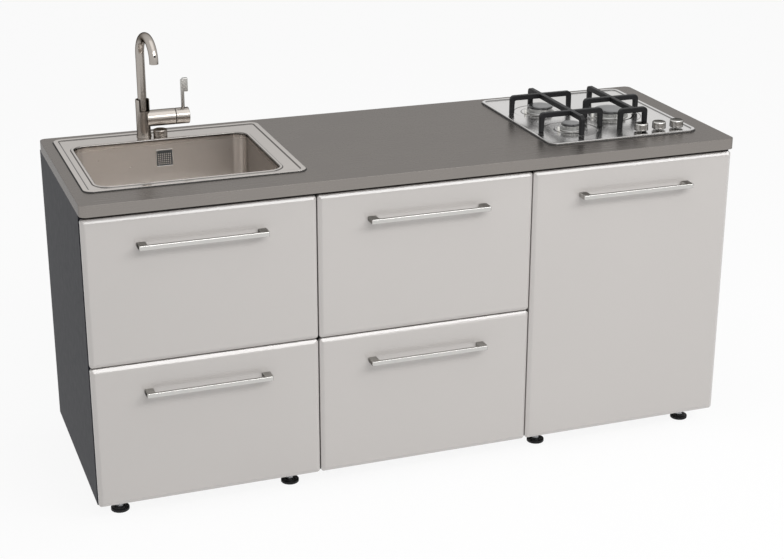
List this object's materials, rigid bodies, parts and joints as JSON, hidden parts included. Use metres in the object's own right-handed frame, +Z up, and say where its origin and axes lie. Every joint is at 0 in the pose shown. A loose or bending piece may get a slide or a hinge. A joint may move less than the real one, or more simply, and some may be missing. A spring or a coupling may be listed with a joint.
{
  "type": "kitchenette unit",
  "caption": "Floor-standing kitchen unit with drawers, a steel worktop, an inset sink with mixer tap and a gas hob.",
  "frame": {"origin": "centre of the bounding box's footprint, on the floor under the feet", "axes": "+X to the right along the unit as seen by its user, +Y towards the wall behind it, +Z up"},
  "size_m": [1.8, 0.655, 1.1697],
  "materials": {
    "side_board": "dark grey laminated board, satin",
    "carcass_board": "light grey laminated board, matt",
    "back_board": "thin light grey fibreboard, matt",
    "front_board": "light warm grey lacquer, semi-gloss, edges rounded",
    "handle_steel": "satin steel",
    "worktop_steel": "satin stainless steel",
    "worktop_filler": "raw chipboard",
    "sink_steel": "satin stainless steel",
    "plated_steel": "zinc plated, satin",
    "foot_plastic": "black, fine grain",
    "seal_rubber": "soft foam",
    "dark_plastic": "dark grey",
    "waste_steel": "polished stainless steel",
    "pipe_plastic": "white polypropylene",
    "tap_metal": "satin nickel",
    "brass": "machined",
    "hob_steel": "satin stainless steel",
    "tray_steel": "galvanised sheet",
    "burner_alloy": "cast, matt",
    "cap_enamel": "black enamel, satin",
    "ceramic": "white ceramic",
    "cast_iron": "black enamel, matt",
    "knob_metal": "brushed, bevelled rim"
  },
  "bodies": {
    "unit": {"outer_sides": "side_board", "inner_sides": "carcass_board", "cabinet_bottoms": "carcass_board", "cabinet_rails": "carcass_board", "back_panels": "back_board", "joining_bolts": "plated_steel", "foot_bases": "foot_plastic", "foot_stems": "plated_steel", "runner_rails": "plated_steel", "worktop_skin": "worktop_steel", "worktop_core": "worktop_filler", "sink_deck": "sink_steel", "sink_bowl": "sink_steel", "sink_clips": "plated_steel", "edge_seals": "seal_rubber", "overflow_grille": "dark_plastic", "sink_waste": "waste_steel", "waste_pipes": "pipe_plastic", "tap_body": "tap_metal", "tap_shank": "brass", "hob_plate": "hob_steel", "hob_tray": "tray_steel", "burner_cups": "burner_alloy", "burner_caps": "cap_enamel", "igniters": "ceramic", "gas_manifold": "brass"},
    "left_upper_drawer": {"left_upper_front": "front_board", "left_upper_handle": "handle_steel", "left_upper_box": "carcass_board"},
    "left_upper_slide": {"left_upper_runners": "plated_steel"},
    "left_lower_drawer": {"left_lower_front": "front_board", "left_lower_handle": "handle_steel", "left_lower_box": "carcass_board"},
    "left_lower_slide": {"left_lower_runners": "plated_steel"},
    "middle_upper_drawer": {"middle_upper_front": "front_board", "middle_upper_handle": "handle_steel", "middle_upper_box": "carcass_board"},
    "middle_upper_slide": {"middle_upper_runners": "plated_steel"},
    "middle_lower_drawer": {"middle_lower_front": "front_board", "middle_lower_handle": "handle_steel", "middle_lower_box": "carcass_board"},
    "middle_lower_slide": {"middle_lower_runners": "plated_steel"},
    "right_drawer": {"right_front": "front_board", "right_handle": "handle_steel", "right_boxes": "carcass_board"},
    "right_slide": {"right_runners": "plated_steel"},
    "spout": {"tap_spout": "tap_metal", "tap_aerator": "dark_plastic"},
    "cap": {"lever_cap": "tap_metal"},
    "lever": {"mixer_lever": "tap_metal"},
    "control": {"waste_control": "tap_metal"},
    "plug": {"waste_plug": "waste_steel"},
    "left_support": {"pan_support_left": "cast_iron"},
    "right_support": {"pan_support_right": "cast_iron"},
    "valve_1": {"valve_plug_1": "brass"},
    "hob_knob_1": {"knob_1": "knob_metal"},
    "valve_2": {"valve_plug_2": "brass"},
    "hob_knob_2": {"knob_2": "knob_metal"},
    "valve_3": {"valve_plug_3": "brass"},
    "hob_knob_3": {"knob_3": "knob_metal"}
  },
  "joints": [
    {"name": "left_upper_pull", "type": "slide", "parent": "unit", "child": "left_upper_drawer", "axis": [0, -1, 0], "range_m": [0, 0.45]},
    {"name": "left_upper_runner_run", "type": "slide", "parent": "unit", "child": "left_upper_slide", "axis": [0, -1, 0], "range_m": [0, 0.225]},
    {"name": "left_lower_pull", "type": "slide", "parent": "unit", "child": "left_lower_drawer", "axis": [0, -1, 0], "range_m": [0, 0.45]},
    {"name": "left_lower_runner_run", "type": "slide", "parent": "unit", "child": "left_lower_slide", "axis": [0, -1, 0], "range_m": [0, 0.225]},
    {"name": "middle_upper_pull", "type": "slide", "parent": "unit", "child": "middle_upper_drawer", "axis": [0, -1, 0], "range_m": [0, 0.45]},
    {"name": "middle_upper_runner_run", "type": "slide", "parent": "unit", "child": "middle_upper_slide", "axis": [0, -1, 0], "range_m": [0, 0.225]},
    {"name": "middle_lower_pull", "type": "slide", "parent": "unit", "child": "middle_lower_drawer", "axis": [0, -1, 0], "range_m": [0, 0.45]},
    {"name": "middle_lower_runner_run", "type": "slide", "parent": "unit", "child": "middle_lower_slide", "axis": [0, -1, 0], "range_m": [0, 0.225]},
    {"name": "right_pull", "type": "slide", "parent": "unit", "child": "right_drawer", "axis": [0, -1, 0], "range_m": [0, 0.45]},
    {"name": "right_runner_run", "type": "slide", "parent": "unit", "child": "right_slide", "axis": [0, -1, 0], "range_m": [0, 0.225]},
    {"name": "spout_swivel", "type": "hinge", "parent": "unit", "child": "spout", "pos_m": [-0.624, 0.2587, 0.97], "axis": [0, 0, 1], "range_deg": [-80, 80]},
    {"name": "lever_turn", "type": "hinge", "parent": "unit", "child": "cap", "pos_m": [-0.5118, 0.2587, 0.9202], "axis": [1, 0, 0], "range_deg": [-35, 45]},
    {"name": "lever_lift", "type": "hinge", "parent": "cap", "child": "lever", "pos_m": [-0.5118, 0.2587, 0.9202], "axis": [0, 1, 0], "range_deg": [0, 14]},
    {"name": "control_turn", "type": "hinge", "parent": "unit", "child": "control", "pos_m": [-0.581, 0.2467, 0.87], "axis": [0, 0, 1], "range_deg": [0, 90]},
    {"name": "plug_lift", "type": "slide", "parent": "unit", "child": "plug", "axis": [0, 0, 1], "range_m": [0, 0.008]},
    {"name": "left_support_lift", "type": "slide", "parent": "unit", "child": "left_support", "axis": [0, 0, 1], "range_m": [0, 0.12]},
    {"name": "right_support_lift", "type": "slide", "parent": "unit", "child": "right_support", "axis": [0, 0, 1], "range_m": [0, 0.12]},
    {"name": "valve_1_turn", "type": "hinge", "parent": "unit", "child": "valve_1", "pos_m": [0.685, -0.1605, 0.87], "axis": [0, 0, 1], "range_deg": [0, 190]},
    {"name": "knob_1_push", "type": "slide", "parent": "valve_1", "child": "hob_knob_1", "axis": [0, 0, -1], "range_m": [0, 0.003], "stiffness_N_per_m": 1200, "springref_m": -0.003},
    {"name": "valve_2_turn", "type": "hinge", "parent": "unit", "child": "valve_2", "pos_m": [0.74, -0.1605, 0.87], "axis": [0, 0, 1], "range_deg": [0, 190]},
    {"name": "knob_2_push", "type": "slide", "parent": "valve_2", "child": "hob_knob_2", "axis": [0, 0, -1], "range_m": [0, 0.003], "stiffness_N_per_m": 1200, "springref_m": -0.003},
    {"name": "valve_3_turn", "type": "hinge", "parent": "unit", "child": "valve_3", "pos_m": [0.795, -0.1605, 0.87], "axis": [0, 0, 1], "range_deg": [0, 190]},
    {"name": "knob_3_push", "type": "slide", "parent": "valve_3", "child": "hob_knob_3", "axis": [0, 0, -1], "range_m": [0, 0.003], "stiffness_N_per_m": 1200, "springref_m": -0.003}
  ],
  "couplings": [
    {"joint": "left_upper_runner_run", "follows": "left_upper_pull", "ratio": 0.5},
    {"joint": "left_lower_runner_run", "follows": "left_lower_pull", "ratio": 0.5},
    {"joint": "middle_upper_runner_run", "follows": "middle_upper_pull", "ratio": 0.5},
    {"joint": "middle_lower_runner_run", "follows": "middle_lower_pull", "ratio": 0.5},
    {"joint": "right_runner_run", "follows": "right_pull", "ratio": 0.5},
    {"joint": "control_turn", "follows": "plug_lift", "rad_per_m": 196}
  ]
}
